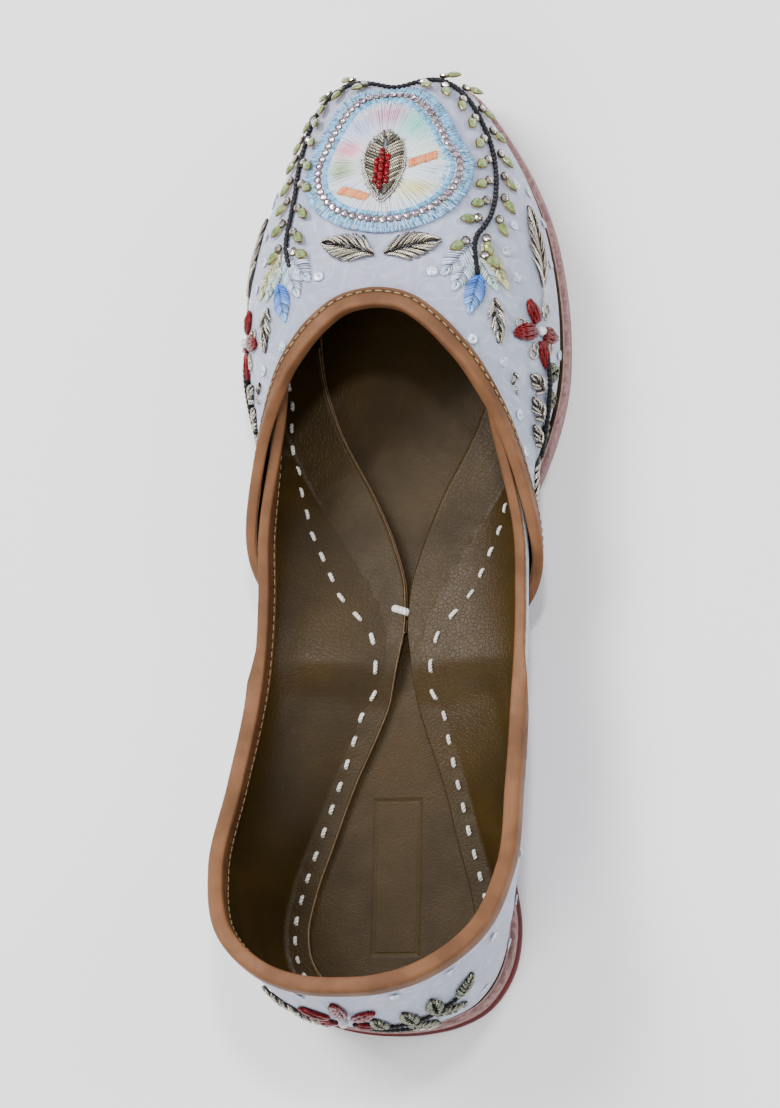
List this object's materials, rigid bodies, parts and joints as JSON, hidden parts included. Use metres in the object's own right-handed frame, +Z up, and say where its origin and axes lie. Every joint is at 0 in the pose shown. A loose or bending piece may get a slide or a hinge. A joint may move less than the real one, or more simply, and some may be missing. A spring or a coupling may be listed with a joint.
{
  "type": "jutti",
  "caption": "Embroidered slip-on jutti shoe with a low open collar, vamp wings lapped over the quarter, bound edges, thin stitched sole and low heel lift.",
  "frame": {"origin": "on the floor below the middle of the shoe's bounding box", "axes": "+X to the shoe's right, +Y along the sole toward the toe, +Z up from the floor"},
  "size_m": [0.0846, 0.2494, 0.0615],
  "materials": {
    "red_leather": "glossy grained leather",
    "heel_rubber": "matte sheet",
    "lining_leather": "smooth lining leather",
    "pale_cloth": "satin cloth over leather",
    "tan_leather": "smooth binding leather",
    "beadwork": "bead and thread embroidery"
  },
  "bodies": {
    "root": {"outsole": "red_leather", "heel_lift": "heel_rubber", "insole": "lining_leather", "vamp": "pale_cloth", "quarter": "pale_cloth", "throat_binding": "tan_leather", "collar_binding": "tan_leather", "toe_medallion": "beadwork"}
  },
  "joints": []
}
